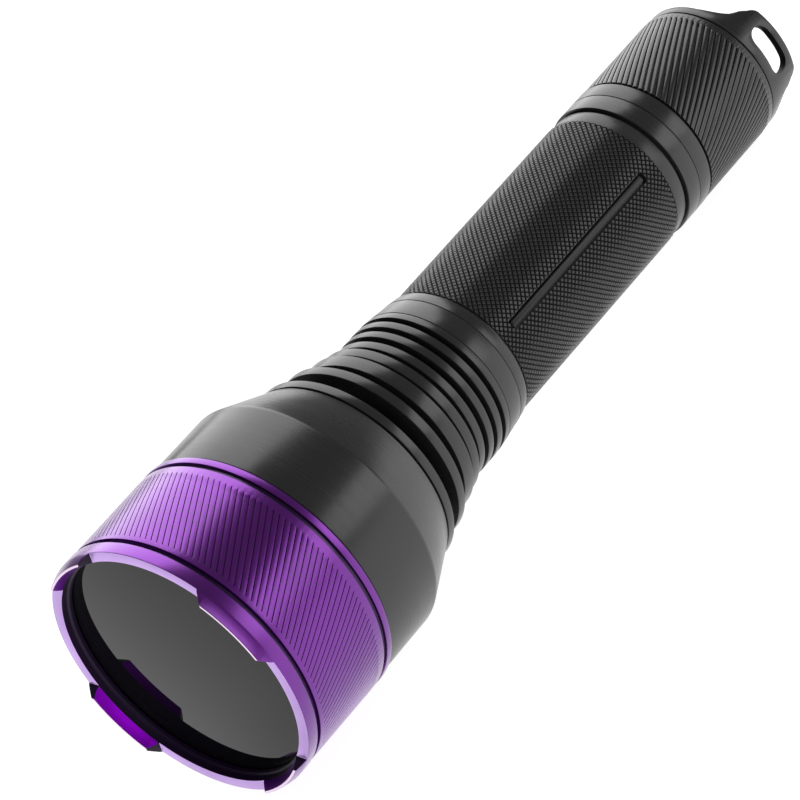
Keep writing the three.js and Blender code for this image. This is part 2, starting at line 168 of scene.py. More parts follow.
def applied(piece, change, crisp):
    """The piece with one modifier made permanent."""
    graph = bpy.context.evaluated_depsgraph_get()
    mesh = bpy.data.meshes.new_from_object(piece.evaluated_get(graph))
    piece.modifiers.remove(change)
    piece.data = mesh
    shade(mesh, crisp)
    return piece


def cut_with(piece, cutter):
    """Takes the cutter out of the piece."""
    change = piece.modifiers.new("cut", "BOOLEAN")
    change.solver = "EXACT"
    change.object = cutter
    applied(piece, change, CRISP)
    bpy.data.objects.remove(cutter)
    return piece


def softened(piece, width):
    """Rounds the piece's crisp edges."""
    crisp = 40.0
    change = piece.modifiers.new("soften", "BEVEL")
    change.width = width * MM
    change.segments = 2
    change.limit_method = "ANGLE"
    change.angle_limit = math.radians(crisp)
    return applied(piece, change, crisp)


def arc(x, y, radius, start, end, steps=6):
    """Points on a circle from one angle to another, in degrees."""
    turns = [math.radians(start + (end - start) * k / steps) for k in range(steps + 1)]
    return [(x + radius * math.cos(turn), y + radius * math.sin(turn)) for turn in turns]


def bent(start, pull, end, steps=14):
    """Points on a curve from start to end that is drawn towards pull."""
    a, b, c = Vector(start), Vector(pull), Vector(end)
    shares = [k / steps for k in range(steps + 1)]
    return [tuple(a * (1 - t) ** 2 + b * 2 * t * (1 - t) + c * t ** 2) for t in shares]


def round_ended(half_length, half_width, station):
    """The outline of a slot across the lamp, with full round ends."""
    reach = half_length - half_width
    end, far_end = ((x, station, half_width) for x in (reach, -reach))
    return arc(*end, -90, 90, steps=12) + arc(*far_end, 90, 270, steps=12)


def milled(name, outline, angle, low, high):
    """A cutter: an outline of (across, station) points, pushed from one distance off the axis to another in
    the direction of the angle."""
    work = bmesh.new()
    face = work.faces.new([work.verts.new((x, y, low)) for x, y in outline])
    pushed = bmesh.ops.extrude_face_region(work, geom=[face])
    moved = [v for v in pushed["geom"] if isinstance(v, bmesh.types.BMVert)]
    bmesh.ops.translate(work, verts=moved, vec=(0, 0, high - low))
    bmesh.ops.recalc_face_normals(work, faces=work.faces)
    to_frame = Matrix.Rotation(angle, 4, "Y") @ Matrix.Scale(MM, 4) @ Matrix.Translation((0, RIM_Y, 0))
    bmesh.ops.transform(work, matrix=to_frame, verts=work.verts)
    mesh = bpy.data.meshes.new(name)
    work.to_mesh(mesh)
    work.free()
    return finished(name, mesh)


# ---- Materials ---------------------------------------------------------------------------------------


class Nodes:
    """A short way to build a material's nodes."""

    def __init__(self, name):
        self.material = bpy.data.materials.new(name)
        self.material.use_nodes = True
        self.tree = self.material.node_tree
        self.shader = self.tree.nodes["Principled BSDF"]
        self.position = self.make("ShaderNodeTexCoord").outputs["Object"]

    def make(self, kind, **settings):
        """A new node of a kind, with its settings."""
        node = self.tree.nodes.new(kind)
        for key, value in settings.items():
            setattr(node, key, value)
        return node

    def link(self, source, target):
        self.tree.links.new(source, target)

    def scaled(self, size_mm, stretch):
        """The position in the object, in steps of size_mm."""
        mapping = self.make("ShaderNodeMapping")
        mapping.inputs["Scale"].default_value = [s / (size_mm * MM) for s in stretch]
        self.link(self.position, mapping.inputs["Vector"])
        return mapping.outputs["Vector"]

    def noise(self, size_mm, detail, stretch=(1, 1, 1)):
        """Noise with features of about size_mm, longer along an axis with a smaller stretch."""
        noise = self.make("ShaderNodeTexNoise")
        noise.inputs["Scale"].default_value = 1.0
        noise.inputs["Detail"].default_value = detail
        self.link(self.scaled(size_mm, stretch), noise.inputs["Vector"])
        return noise.outputs["Fac"]

    def cells(self, size_mm):
        """The distance from the edges of irregular cells of about size_mm."""
        cells = self.make("ShaderNodeTexVoronoi", feature="DISTANCE_TO_EDGE")
        cells.inputs["Scale"].default_value = 1.0
        self.link(self.scaled(size_mm, (1, 1, 1)), cells.inputs["Vector"])
        return cells.outputs["Distance"]

    def ranged(self, value, low=0.0, high=1.0, start=0.3, end=0.7):
        """The value stretched from start..end to low..high."""
        change = self.make("ShaderNodeMapRange")
        change.inputs["From Min"].default_value = start
        change.inputs["From Max"].default_value = end
        change.inputs["To Min"].default_value = low
        change.inputs["To Max"].default_value = high
        self.link(value, change.inputs["Value"])
        return change.outputs["Result"]

    def mixed(self, factor, first, second):
        """A colour between two, each a colour or another node's output."""
        mix = self.make("ShaderNodeMix", data_type="RGBA")
        share, start, end = (mix.inputs[number] for number in (0, 6, 7))
        self.link(factor, share)
        for value, socket in ((first, start), (second, end)):
            if isinstance(value, bpy.types.NodeSocket):
                self.link(value, socket)
            else:
                socket.default_value = (*value, 1.0)
        return mix.outputs[2]

    def colour(self, source):
        self.link(source, self.shader.inputs["Base Color"])

    def roughness(self, source):
        self.link(source, self.shader.inputs["Roughness"])

    def bump(self, height, strength, distance_mm):
        bump = self.make("ShaderNodeBump")
        bump.inputs["Strength"].default_value = strength
        bump.inputs["Distance"].default_value = distance_mm * MM
        self.link(height, bump.inputs["Height"])
        self.link(bump.outputs["Normal"], self.shader.inputs["Normal"])

    def painted_shade(self):
        """The painted shade in the grooves, from 0 in the open to 1 deep in a groove."""
        return self.make("ShaderNodeAttribute", attribute_name="painted_shade").outputs["Fac"]

    def set(self, **values):
        """Sets the shader's own sockets, with _ for each space in a name."""
        for key, value in values.items():
            self.shader.inputs[key.replace("_", " ")].default_value = value


def darker(colour, factor):
    """The colour, dimmed to that share of itself."""
    return [c * factor for c in colour]


def anodised(name, colour, deep, roughness, **gloss):
    """Satin anodised aluminium: fine blasted grain, faint lathe lines round the axis, and a painted shade
    that turns the colour to deep in the grooves.
    """
    n = Nodes(name)
    n.set(**gloss)
    spread = 0.03
    cloud = n.noise(9.0, detail=3.0)
    lathe_lines = n.noise(0.35, detail=2.0, stretch=(0.02, 1, 0.02))
    varied = n.mixed(n.ranged(cloud), colour, darker(colour, 0.86))
    # painted shade: the colour turns to deep where the painted_shade attribute marks a groove
    n.colour(n.mixed(n.painted_shade(), varied, deep))
    uneven = n.make("ShaderNodeMath", operation="ADD")
    n.link(n.ranged(cloud, -spread, spread), uneven.inputs[0])
    n.link(n.ranged(lathe_lines, roughness - spread, roughness + spread), uneven.inputs[1])
    n.roughness(uneven.outputs[0])
    n.bump(n.noise(0.12, detail=2.0), strength=0.12, distance_mm=0.01)
    return n.material


def filter_glass():
    """Black UV-pass glass with a polished face and the faintest cloudiness in its gloss."""
    n = Nodes("filter_glass")
    n.set(IOR=1.36)
    haze = n.noise(14.0, detail=2.0)
    n.colour(n.mixed(haze, (0.0025, 0.0025, 0.003), (0.004, 0.0035, 0.005)))
    n.roughness(n.ranged(haze, 0.015, 0.03))
    return n.material


def rubber():
    """Matt black silicone rubber with a dusty, slightly uneven surface."""
    n = Nodes("black_rubber")
    n.set(IOR=1.45)
    dust = n.noise(1.2, detail=4.0)
    n.colour(n.mixed(n.ranged(dust), (0.012, 0.012, 0.013), (0.024, 0.023, 0.024)))
    n.roughness(n.ranged(dust, 0.55, 0.75))
    n.bump(n.noise(0.25, detail=3.0), strength=0.3, distance_mm=0.03)
    return n.material


def turned_metal(name, colour, roughness):
    """Bare metal with fine lathe lines round the axis and a little staining."""
    n = Nodes(name)
    n.set(Metallic=1.0)
    spread = roughness * 0.25
    lathe_lines = n.noise(0.2, detail=2.0, stretch=(0.02, 1, 0.02))
    n.colour(n.mixed(n.ranged(n.noise(3.0, detail=4.0)), colour, darker(colour, 0.82)))
    n.roughness(n.ranged(lathe_lines, roughness - spread, roughness + spread))
    n.bump(lathe_lines, strength=0.1, distance_mm=0.01)
    return n.material


def moulded(name, colour, roughness):
    """Moulded plastic with a fine matt grain."""
    n = Nodes(name)
    n.set(IOR=1.48)
    spread = 0.06
    grain = n.noise(0.18, detail=3.0)
    n.colour(n.mixed(n.ranged(n.noise(2.5, detail=3.0)), colour, darker(colour, 0.85)))
    n.roughness(n.ranged(grain, roughness - spread, roughness + spread))
    n.bump(grain, strength=0.2, distance_mm=0.02)
    return n.material


def circuit_board():
    """Green solder mask over copper areas, with pale gaps between them."""
    n = Nodes("circuit_board")
    n.set(Coat_Weight=0.4, Coat_Roughness=0.15)
    gap = n.ranged(n.cells(1.6), 1.0, 0.0, start=0.02, end=0.06)
    mask = n.mixed(n.ranged(n.noise(0.6, detail=3.0)), (0.012, 0.1, 0.05), (0.02, 0.15, 0.075))
    n.colour(n.mixed(gap, mask, (0.05, 0.24, 0.12)))
    n.roughness(n.ranged(n.noise(0.3, detail=2.0), 0.32, 0.45))
    n.bump(gap, strength=0.3, distance_mm=0.03)
    return n.material


def cell_wrap():
    """Heat-shrunk blue film with soft lengthwise ripples."""
    n = Nodes("cell_wrap")
    n.set(Coat_Weight=0.6, Coat_Roughness=0.12)
    ripple = n.noise(1.4, detail=2.0, stretch=(1, 0.06, 1))
    n.colour(n.mixed(n.ranged(ripple), (0.03, 0.1, 0.34), (0.045, 0.14, 0.42)))
    n.roughness(n.ranged(n.noise(0.5, detail=3.0), 0.3, 0.42))
    n.bump(ripple, strength=0.25, distance_mm=0.06)
    return n.material


def led_lens():
    """Clear silicone over the chip, warmer where the chip shows."""
    n = Nodes("led_lens")
    n.set(IOR=1.41, Coat_Weight=1.0, Coat_Roughness=0.03)
    depth = n.noise(0.9, detail=2.0)
    n.colour(n.mixed(n.ranged(depth), (0.78, 0.74, 0.5), (0.62, 0.6, 0.46)))
    n.roughness(n.ranged(depth, 0.05, 0.12))
    return n.material


# the near-black colours of the painted shade in grooves and hollows
PURPLE_SHADE_COLOUR = (0.03, 0.002, 0.06)
BLACK_SHADE_COLOUR = (0.004, 0.004, 0.004)
PURPLE = anodised("purple_anodised", (0.165, 0.008, 0.3), PURPLE_SHADE_COLOUR, 0.31,
                  Metallic=0.9, IOR=1.55, Coat_Weight=0.8, Coat_Roughness=0.25)
# painted highlight: the floor's reflection on forward faces painted into a paler purple
PURPLE_PAINTED_HIGHLIGHT = anodised("purple_anodised_painted_highlight", (0.52, 0.34, 0.72), PURPLE_SHADE_COLOUR, 0.25, Metallic=1.0)
# the tooth tips: partly wear and partly a painted highlight
PURPLE_WEAR_AND_HIGHLIGHT = anodised("purple_anodised_wear_and_highlight", (0.9, 0.72, 0.92), PURPLE_SHADE_COLOUR, 0.3, Metallic=1.0)
PURPLE_CLEAR = anodised("purple_anodised_clear", (0.2, 0.002, 0.42), PURPLE_SHADE_COLOUR, 0.4, Metallic=1.0)
# painted shade: a near-black copy of the purple for the teeth's ends and the bore
PURPLE_SHADED_INSIDE = anodised("purple_anodised_painted_shade", (0.012, 0.002, 0.024), PURPLE_SHADE_COLOUR, 0.5, IOR=1.35)
BLACK = anodised("black_anodised", (0.021, 0.021, 0.022), BLACK_SHADE_COLOUR, 0.25, IOR=1.55)
# painted shade: a near-black copy of the black anodising for the slot's walls
BLACK_SHADED_INSIDE = anodised("black_anodised_painted_shade", BLACK_SHADE_COLOUR, BLACK_SHADE_COLOUR, 0.6, IOR=1.3)
KNURLED = anodised("black_anodised_knurl", (0.034, 0.034, 0.035), BLACK_SHADE_COLOUR, 0.26, IOR=1.45)
GLASS = filter_glass()
RUBBER = rubber()
BARE_ALUMINIUM = turned_metal("mirror_aluminium", (0.8, 0.81, 0.83), 0.12)
COPPER = turned_metal("copper", (0.72, 0.4, 0.22), 0.3)
STEEL = turned_metal("spring_steel", (0.6, 0.61, 0.63), 0.25)
WHITE_PLASTIC = moulded("white_plastic", (0.8, 0.8, 0.77), 0.45)
SWITCH_PLASTIC = moulded("switch_plastic", (0.03, 0.03, 0.034), 0.5)
RED_WIRE = moulded("red_wire", (0.45, 0.02, 0.02), 0.4)
BLACK_WIRE = moulded("black_wire", (0.015, 0.015, 0.016), 0.4)


def painted(piece, finishes_and_painted_light, choose):
    """Gives each face one of the materials, which are finishes and copies with painted highlight and shade.
    choose(station, outward, along) gets the face's station and how far it looks away from the axis and
    towards the tail, and returns the material's number."""
    for finish_and_painted_light in finishes_and_painted_light:
        piece.data.materials.append(finish_and_painted_light)
    for face in piece.data.polygons:
        x, y, z = face.center
        outward = (face.normal.x * x + face.normal.z * z) / math.hypot(x, z)
        face.material_index = choose(y / MM - RIM_Y, outward, face.normal.y)
    return piece


def dressed(piece, material, body, slot, *nodes):
    """Gives a piece its material, unless it is painted, puts it on its body and hides its CAD nodes. The
    slot is not used.
    """
    if not piece.data.materials:
        piece.data.materials.append(material)
    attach(piece, body)
    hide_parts(*nodes)


def dress_cad(material, *nodes):
    """Gives CAD nodes that stay in view their material."""
    for node in nodes:
        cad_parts[node].material_slots[0].material = material


# ---- Bezel -------------------------------------------------------------------------------------------

BEZEL_RADIUS = 23.3
BEZEL_BORE = 22.0
BEZEL_REAR = 21.85
CROWN_RADIUS = 23.4
CROWN_REAR = 2.3
NOTCH_HALF = 10.3
NOTCH_ANGLE = math.radians(15)
CUT_COUNT = 136
CUT_DEPTH = 0.24
CUT_LEAN = math.radians(-1.275)         # turn for each mm along the axis
CUT_ZONE = (4.0, 18.4)
FRONT_GROOVE = (CROWN_REAR, 3.2)
REAR_GROOVE = (19.75, 20.6)


def crown():
    """The front of the bezel: a turned crown with four notches milled straight across it, which leave four
    teeth. The milled floors get a painted highlight, the tips a paler one that is partly wear and partly
    painted highlight, the teeth's inner faces are a clear purple, and their ends and the bore are painted
    nearly black as painted shade."""
    ring = turned("bezel_crown", [
        (21.95, CROWN_REAR), (21.95, 2.1, 0.02), (21.2, 2.1), (21.2, 1.35), (21.6, 1.2), (21.6, 0.0, 0.05),
        (22.42, -TOOTH_HEIGHT, 0.06), (22.86, -TOOTH_HEIGHT, 0.1), (CROWN_RADIUS, 0.0, 0.3),
        (CROWN_RADIUS, CROWN_REAR, 0.1)], ease=0.08, segments=240)
    fillet = 0.3
    mouth = NOTCH_HALF + 1.2
    ahead = -3.0
    through = 30.0
    corner = arc(NOTCH_HALF - fillet, -fillet, fillet, 90, 0)
    notch = corner + [(mouth, -TOOTH_HEIGHT), (mouth, ahead), (-mouth, ahead), (-mouth, -TOOTH_HEIGHT)]
    notch += [(-x, s) for x, s in reversed(corner)]
    for angle in (NOTCH_ANGLE, NOTCH_ANGLE + math.pi / 2):
        cut_with(ring, milled("notch", notch, angle, -through, through))

    finishes_and_painted_light = [PURPLE, PURPLE_PAINTED_HIGHLIGHT, PURPLE_WEAR_AND_HIGHLIGHT, PURPLE_CLEAR, PURPLE_SHADED_INSIDE]

    # painted light: forward faces get a painted highlight, the tips partly wear and partly highlight, and
    # the teeth's ends and the bore a painted shade
    def finish_and_painted_light(station, outward, along):
        looks_forward = along < -0.9
        if looks_forward and station < 0.03:
            seen = PURPLE_WEAR_AND_HIGHLIGHT if station < -1 else PURPLE_PAINTED_HIGHLIGHT
        elif station > CROWN_REAR - 0.1 or outward > 0.3 and (along > -0.45 or station < -0.1):
            seen = PURPLE
        elif station < -0.2 and outward < -0.7:
            seen = PURPLE_CLEAR
        else:
            seen = PURPLE_SHADED_INSIDE
        return finishes_and_painted_light.index(seen)

    return painted(softened(ring, width=0.1), finishes_and_painted_light, finish_and_painted_light)


def skirt():
    """The bezel's long skirt, with two turned grooves and a ring of leaning cuts between them. The cuts end
    in a deeper run-out at the rear."""
    cut = [(-0.08, 0.0), (-0.03, 1.0), (0.03, 1.0), (0.08, 0.0), (0.3, -0.06), (0.5, -0.08), (0.7, -0.06)]
    front, rear = CUT_ZONE
    bore_steps, cut_steps = 8, 12
    front_floor, rear_floor = 22.6, 22.8
    rows = [(front, 0.0), (front + 0.16, 0.8)]
    rows += [(front + 0.4 + (rear - front - 1.0) * k / cut_steps, 1.0) for k in range(cut_steps + 1)]
    rows += [(rear - 0.5, 1.5), (rear - 0.15, 1.5), (rear, 0.0)]
    bore_length = BEZEL_REAR - CROWN_REAR
    bore = [(BEZEL_BORE, BEZEL_REAR - bore_length * k / bore_steps) for k in range(bore_steps + 1)]
    front_edge = eased([
        (BEZEL_BORE, FRONT_GROOVE[0], 0), (front_floor, FRONT_GROOVE[0]), (front_floor, FRONT_GROOVE[1]),
        (BEZEL_RADIUS, FRONT_GROOVE[1]), (BEZEL_RADIUS, front, 0)], ease=0.08)[1:-1]
    rear_edge = eased([
        (BEZEL_RADIUS, rear, 0), (BEZEL_RADIUS, REAR_GROOVE[0]), (rear_floor, REAR_GROOVE[0] + 0.05),
        (rear_floor, REAR_GROOVE[1] - 0.05), (BEZEL_RADIUS, REAR_GROOVE[1]),
        (BEZEL_RADIUS, BEZEL_REAR, 0.2), (BEZEL_BORE, BEZEL_REAR, 0)], ease=0.08)[1:-1]
    # the turned grooves, which get painted shade like the leaning cuts
    grooves = [(*groove, BEZEL_RADIUS - 0.1) for groove in (FRONT_GROOVE, REAR_GROOVE)]
    return fluted("bezel_skirt", bore + front_edge, rows, rear_edge, BEZEL_RADIUS, cut, CUT_DEPTH,
                  CUT_COUNT, CUT_LEAN, grooves, groove_shade=(0.8, 1.0))


# ---- Head --------------------------------------------------------------------------------------------


def glass():
    """The filter, a thick disc with a rounded edge."""
    radius, front, rear = 21.7, 2.2, 5.6
    section = [(0.0, front, 0), (radius, front), (radius, rear), (0.0, rear, 0)]
    return turned("filter_glass_disc", section, ease=0.25, segments=160)


SHOULDER_RADIUS = 22.85
SHOULDER = 34.4


def bell():
    """The head's smooth bell, with the threaded spigot that the bezel screws onto."""
    return turned("head_bell_shell", [
        (20.3, 7.2), (21.7, 7.2), (21.7, 18.7), (20.9, 18.7), (20.9, 20.4), (21.7, 20.4), (21.7, 22.1),
        (22.95, 22.1, 0.2), (SHOULDER_RADIUS, SHOULDER, 0.4), (18.5, 44.0, 0.15), (16.5, 44.15),
        (16.5, 41.7), (20.3, 33.5)], ease=0.12, segments=192)


FINS = [                # front, rear, radius
    (44.45, 46.0, 18.4), (49.2, 50.9, 17.1), (52.8, 55.3, 15.8), (56.1, 57.9, 15.1),
    (59.0, 60.5, 14.4), (61.6, 63.0, 14.4), (64.0, 65.4, 14.4)]
FIN_ROOT = 12.6


def heat_sink():
    """The finned heat sink with its front spigot and its plain neck, which two fine lines divide."""
    section = [(0.0, 42.0, 0), (16.2, 42.0), (16.2, 42.5), (15.4, 42.5), (15.4, 43.8), (16.2, 43.8)]
    section.append((16.2, FINS[0][0]))
    for front, rear, radius in FINS:
        if front > FINS[0][0]:
            section.append((FIN_ROOT, front))
        section += [(radius, front, 0.16), (radius, rear, 0.16), (FIN_ROOT, rear)]
    section += [(FIN_ROOT, 66.4), (14.35, 66.4, 0.16)]
    half, deep = 0.08, 0.14
    for line, radius in ((67.8, 14.2), (71.6, 13.72)):
        section += [(radius, line - half, 0.02), (radius - deep, line, 0.02), (radius, line + half, 0.02)]
    section += [(13.4, 73.75, 0.12), (12.5, 73.75), (12.5, 66.8), (10.9, 66.8), (10.9, 51.7), (9.9, 51.7),
                (9.9, 48.0), (0.0, 48.0, 0)]
    # painted shade in the gaps between the fins
    between_fins = (44.0, 66.5, 14.0)
    return turned("heat_sink_body", section, ease=0.1, segments=192, grooves=[between_fins])


# ---- Battery tube ------------------------------------------------------------------------------------

TUBE_RADIUS = 13.1
KNURL_COUNT = 77
KNURL_ZONE = (74.25, 118.7)
KNURL_DEPTH = 0.22
KNURL_ROOT = TUBE_RADIUS - KNURL_DEPTH
KNURL_SLOPE = 0.23      # the width of a diamond's sloping sides
CHANNEL_ANGLES = [math.radians(69.6 + 180 * k) for k in range(2)]
CHANNEL_ZONE = (77.1, 115.5)
CHANNEL_HALF = 0.95
TRENCH_WIDTH = 0.27
TRENCH_FLOOR = 12.3
LAND_TOP = 12.85


def channel(angle, inset, low, high):
    """A long block with small round corners, that much inside the channel's outline, from one distance off
    the axis to another."""
    corner = 0.45
    side = CHANNEL_HALF - inset - corner
    front, rear = CHANNEL_ZONE[0] + inset + corner, CHANNEL_ZONE[1] - inset - corner
    outline = []
    for k, (x, station) in enumerate(((side, rear), (-side, rear), (-side, front), (side, front))):
        outline += arc(x, station, corner, 90 * k, 90 * (k + 1), steps=4)
    return milled("channel", outline, angle, low, high)


def knurled(name, before, after):
    """A closed skin of plain rings before and after a zone of diamonds, each raised to a smaller flat top.
    before and after are (radius, station) points, and every ring has as many sides as there are diamonds
    round the tube."""
    front, rear = KNURL_ZONE
    rows = 2 * round((rear - front) / (2 * math.pi * KNURL_ROOT / KNURL_COUNT))
    work = bmesh.new()

    def ring(radius, station, offset):
        angles = [2 * math.pi * (c + offset) / KNURL_COUNT for c in range(KNURL_COUNT)]
        return [work.verts.new(place(radius, station, angle)) for angle in angles]

    step = (rear - front) / rows
    lattice = [ring(KNURL_ROOT, front + step * i, 0.5 * (1 - i % 2)) for i in range(rows + 1)]
    plain = [lattice[-1]] + [ring(r, s, 0.5) for r, s in after + before] + [lattice[0]]
    for here, there in zip(plain, plain[1:]):
        for c in range(KNURL_COUNT):
            beside = (c + 1) % KNURL_COUNT
            work.faces.new((here[c], here[beside], there[beside], there[c]))
    diamonds = []
    for i, line in enumerate(lattice):
        for c in range(KNURL_COUNT):
            beside = (c + 1) % KNURL_COUNT
            middle = c if i % 2 else beside
            corners = [line[c], line[beside]]
            if i < rows:
                corners.insert(1, lattice[i + 1][middle])
            if i > 0:
                corners.append(lattice[i - 1][middle])
            diamonds.append(work.faces.new(corners))
    bmesh.ops.recalc_face_normals(work, faces=work.faces)
    bmesh.ops.inset_individual(work, faces=diamonds, thickness=KNURL_SLOPE * MM, depth=KNURL_DEPTH * MM)
    mesh = bpy.data.meshes.new(name)
    work.to_mesh(mesh)
    work.free()
    # painted shade in the valleys round each diamond's flat top
    depth = mesh.attributes.new("painted_shade", "FLOAT", "POINT")
    for vertex, value in zip(mesh.vertices, depth.data):
        x, y, z = vertex.co / MM
        value.value = float(front <= y - RIM_Y <= rear and math.hypot(x, z) < KNURL_ROOT + KNURL_DEPTH / 2)
    return finished(name, mesh)


def body_tube():
    """The battery tube: two spigots, a diamond knurl and two milled channels. A narrow trench runs round
    each channel's floor and leaves a low smooth land along its middle."""
    before = eased([
        (10.95, 67.1), (12.2, 67.1), (12.2, 70.2), (11.6, 70.2), (11.6, 71.4), (12.2, 71.4), (12.2, 74.05),
        (KNURL_ROOT, 74.05)], ease=0.08, steps=2)
    after = eased([
        (12.85, 118.85), (12.85, 121.35, 0.15), (12.2, 121.4), (12.2, 124.6), (11.6, 124.6),
        (11.6, 125.8), (12.2, 125.8), (12.2, 131.9), (10.95, 131.9)], ease=0.08, steps=2)
    tube = knurled("body_tube_knurled", before, after)
    for angle in CHANNEL_ANGLES:
        land = softened(channel(angle, TRENCH_WIDTH, TRENCH_FLOOR - 1.3, LAND_TOP), width=0.4)
        cut_with(tube, cut_with(channel(angle, 0.0, TRENCH_FLOOR, TUBE_RADIUS + 1.9), land))
    return tube


# ---- Tail cap ----------------------------------------------------------------------------------------

RIB_COUNT = 76
RIB_DEPTH = 0.3
RIB_LEAN = math.radians(-2.0)           # turn for each mm along the axis
RIB_ZONE = (129.0, 146.9)
GRIP_RADIUS = 13.02


def tail_grip():
    """The cap's plain band with its hairline, and the grip of leaning ribs. The cuts between the ribs end in
    a deeper run-out at the rear."""
    cut = [(-0.12, 0.0), (-0.05, 1.0), (0.05, 1.0), (0.12, 0.0), (0.31, -0.2), (0.5, -0.26), (0.69, -0.2)]
    front, rear = RIB_ZONE
    steps = 18
    rows = [(front + (rear - front - 0.6) * k / steps, 1.0) for k in range(steps + 1)]
    rows += [(rear - 0.45, 1.35), (rear - 0.15, 1.35), (rear, 0.0)]
    band = eased([
        (12.5, 132.2, 0), (12.5, 121.95), (13.2, 121.95, 0.2), (13.2, 125.22, 0.02), (13.0, 125.32, 0.02),
        (13.2, 125.42, 0.02), (13.2, 128.4), (12.6, 128.45), (12.6, 128.95, 0), (GRIP_RADIUS, front, 0)],
        ease=0.08)[:-1]
    end = eased([
        (GRIP_RADIUS, rear, 0), (GRIP_RADIUS, 148.05), (12.0, 148.1), (12.0, 144.9), (10.9, 144.9),
        (10.9, 132.2, 0)], ease=0.08)[1:]
    # the hairline and the step, which get painted shade like the cuts between the ribs
    hairline, step = (125.2, 125.45, 13.15), (128.4, 129.0, 13.1)
    return fluted("tail_cap_grip", band, rows, end, GRIP_RADIUS, cut, RIB_DEPTH, RIB_COUNT, RIB_LEAN,
                  (hairline, step), groove_shade=(0.9, 0.9))


RING_RADIUS = 12.9
RING_FRONT = 148.4
RING_REAR = 149.9
EAR_ANGLE = math.radians(79)
EAR_INNER = 11.6
SLOT_STATION = 152.22
SLOT_HALF_LENGTH = 4.45
SLOT_HALF_WIDTH = 1.925
SLOT_WALLS = (150.2, 154.25)            # the stations between which the walls inside the slot lie
BESIDE_RING = 16.0                      # a distance off the axis that is outside the ring


def flank(side):
    """A cutter for the space beside the ears: the hollow of an ear's side, its round shoulder, and all
    beyond."""
    shoulder = EAR_TOP - 1.4
    above = EAR_TOP + 2
    outline = bent((11.6, RING_REAR), (8.6, RING_REAR + 0.7), (7.8, 152.7))
    outline += bent((7.75, 153.0), (7.3, shoulder - 0.4), (6.9, shoulder), steps=6)
    outline += bent((6.8, shoulder + 0.2), (6.2, EAR_TOP), (4.9, EAR_TOP))
    outline += [(4.9, above), (BESIDE_RING, above), (BESIDE_RING, RING_REAR)]
    return milled("flank", [(side * x, s) for x, s in outline], EAR_ANGLE, -BESIDE_RING, BESIDE_RING)


def lanyard_ring():
    """The ring behind the cap: its wall is milled away but for two ears, and a slot goes through both. The
    slot's inside walls are painted nearly black as painted shade."""
    ring = turned("lanyard_ring_milled", [
        (10.9, 145.2), (11.7, 145.2), (11.7, RING_FRONT, 0.04), (RING_RADIUS, RING_FRONT, 0.12),
        (RING_RADIUS, EAR_TOP, 0.25), (EAR_INNER, EAR_TOP, 0.25), (EAR_INNER, RING_REAR - 0.04, 0.1),
        (6.3, RING_REAR - 0.04, 0.15), (6.3, 147.6), (10.9, 147.6)],
        ease=0.08, segments=192)
    for side in (-1, 1):
        cut_with(ring, flank(side))
    slot = round_ended(SLOT_HALF_LENGTH, SLOT_HALF_WIDTH, SLOT_STATION)
    cut_with(ring, milled("slot", slot, EAR_ANGLE, -BESIDE_RING, BESIDE_RING))

    # the slot's walls get the near-black painted shade
    def finish_and_painted_light(station, outward, along):
        front, rear = SLOT_WALLS
        return int(front < station < rear and abs(outward) < 0.42)

    return painted(softened(ring, width=0.14), (BLACK, BLACK_SHADED_INSIDE), finish_and_painted_light)


def boot():
    """The rubber boot over the switch: a low dome inside the ring, with its flange behind the wall."""
    return turned("switch_boot_dome", [
        (0.0, 151.4, 0), (4.0, 151.3), (4.8, 150.5), (4.8, 146.3), (9.5, 146.3), (9.5, 147.3),
        (6.0, 147.3, 0.3), (5.9, 150.2, 0.5), (5.3, 151.5, 0.6), (3.4, 152.4, 0.7), (0.0, 152.6, 0)],
        ease=0.2, segments=96)


# ---- Pieces on their bodies --------------------------------------------------------------------------

dressed(crown(), PURPLE, "bezel", "purple_anodised", "bezel_ring")
dressed(skirt(), PURPLE, "bezel", "purple_anodised", "bezel_ring")
dressed(glass(), GLASS, "filter_stack", "filter_glass", "filter_glass")
dressed(bell(), BLACK, "lamp_body", "black_anodised", "head_bell")
dressed(heat_sink(), BLACK, "lamp_body", "black_anodised", "heat_sink")
dressed(body_tube(), KNURLED, "lamp_body", "black_anodised_knurl", "body_tube")
dressed(tail_grip(), BLACK, "cap", "black_anodised", "tail_cap")
dressed(lanyard_ring(), BLACK, "cap", "black_anodised", "lanyard_ring")
dressed(boot(), RUBBER, "button", "black_rubber", "switch_boot")
dress_cad(RUBBER, "lens_gasket", "bezel_o_ring", "head_o_ring", "neck_o_ring", "tail_o_ring")
dress_cad(BARE_ALUMINIUM, "reflector", "driver_ring", "switch_ring")
dress_cad(COPPER, "led_board", "driver_coil")
dress_cad(STEEL, "board_screw_upper", "board_screw_lower", "front_contact_spring", "tail_spring")
dress_cad(WHITE_PLASTIC, "centring_ring", "switch_plunger")
dress_cad(SWITCH_PLASTIC, "switch_housing")
dress_cad(led_lens(), "led_emitter")
dress_cad(RED_WIRE, "positive_lead")
dress_cad(BLACK_WIRE, "negative_lead")
dress_cad(circuit_board(), "driver_board", "switch_board")
dress_cad(cell_wrap(), "battery_cell")


# ---- Stage -------------------------------------------------------------------------------------------


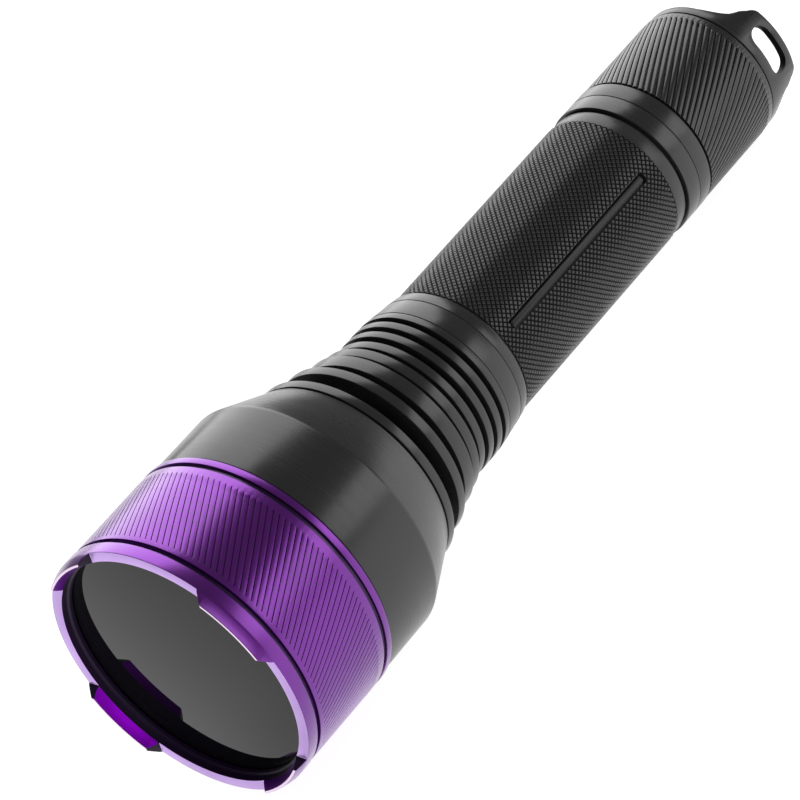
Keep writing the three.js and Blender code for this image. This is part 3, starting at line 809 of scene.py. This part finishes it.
def floor():
    """A pale floor, sloped so that the lamp rests on the bell's shoulder and the tail cap. Its glow is
    white round the lamp and fades with the distance."""
    shoulder = place(SHOULDER_RADIUS, SHOULDER, math.pi)
    heel = place(13.1, 147.9, math.pi)
    slope = math.atan2(heel.z - shoulder.z, heel.y - shoulder.y)
    half = 4.0
    mesh = bpy.data.meshes.new("floor")
    corners = [(-half, -half, 0), (half, -half, 0), (half, half, 0), (-half, half, 0)]
    mesh.from_pydata(corners, [], [(0, 1, 2, 3)])
    plane = bpy.data.objects.new("floor", mesh)
    bpy.context.scene.collection.objects.link(plane)
    plane.rotation_euler = (slope, 0, 0)
    plane.location = shoulder - Vector((0, 0, 0.1)) * MM
    n = Nodes("floor")
    n.colour(n.mixed(n.noise(60.0, detail=2.0), (0.54, 0.54, 0.54), (0.56, 0.56, 0.56)))
    n.set(Roughness=0.9, Specular_IOR_Level=0.0, Emission_Strength=0.9)
    centre = (-0.075, 0.07, 0.0)
    white_to, dim_from = 0.195, 1.2
    distance = n.make("ShaderNodeVectorMath", operation="DISTANCE")
    n.link(n.position, distance.inputs[0])
    distance.inputs[1].default_value = centre
    dimness = n.ranged(distance.outputs["Value"], start=white_to, end=dim_from)
    n.link(n.mixed(dimness, (1.0, 1.0, 1.0), (0.5, 0.5, 0.5)), n.shader.inputs["Emission Color"])
    plane.data.materials.append(n.material)


def softbox(name, angle, lean, across, along, power):
    """A soft light 0.9 m away, in a direction round the lamp's axis that leans towards the tail. One of its
    sides, in metres, is across the lamp and the other along it."""
    distance = 0.9
    light = bpy.data.lights.new(name, "AREA")
    light.shape = "RECTANGLE"
    light.size, light.size_y = across, along
    light.energy = power
    box = bpy.data.objects.new(name, light)
    bpy.context.scene.collection.objects.link(box)
    turn, tip = math.radians(angle), math.radians(lean)
    away = Vector((math.sin(turn) * math.cos(tip), math.sin(tip), math.cos(turn) * math.cos(tip)))
    side = Vector((math.cos(turn), 0, -math.sin(turn)))
    box.matrix_world = (Matrix.Translation(away * distance)
                        @ Matrix((side, away.cross(side), away)).transposed().to_4x4())
    box.visible_camera = False


def lights():
    """A broad key from the upper left, a narrow strip on the right, a low fill in front for the teeth's
    inner faces and a dim surround."""
    softbox("key_left", angle=-42, lean=33, across=1.25, along=0.64, power=6.6)
    softbox("strip_right", angle=71, lean=32, across=0.36, along=0.6, power=1.3)
    softbox("front_fill", angle=62, lean=-24, across=0.7, along=0.3, power=1.5)
    world = bpy.data.worlds.new("studio")
    world.use_nodes = True
    surround = world.node_tree.nodes["Background"]
    surround.inputs["Color"].default_value = (1, 1, 1, 1)
    surround.inputs["Strength"].default_value = 0.15
    bpy.context.scene.world = world
    bpy.context.scene.view_settings.view_transform = "Standard"


def camera():
    """A rolled camera in front of the lens, above the lamp and on its +X side."""
    data = bpy.data.cameras.new("camera")
    data.lens = 214.1
    data.clip_start, data.clip_end = 0.01, 20
    eye = bpy.data.objects.new("camera", data)
    bpy.context.scene.collection.objects.link(eye)
    spot = Vector((515.4, RIM_Y - 333.7, 349.2)) * MM
    right = Vector((0.7125, 0.5602, -0.4226))
    back = Vector((0.7008, -0.5358, 0.4709))
    back = (back - right * back.dot(right)).normalized()
    turn = Matrix((right, back.cross(right), back)).transposed().to_4x4()
    eye.matrix_world = Matrix.Translation(spot) @ turn
    bpy.context.scene.camera = eye


floor()
lights()
camera()
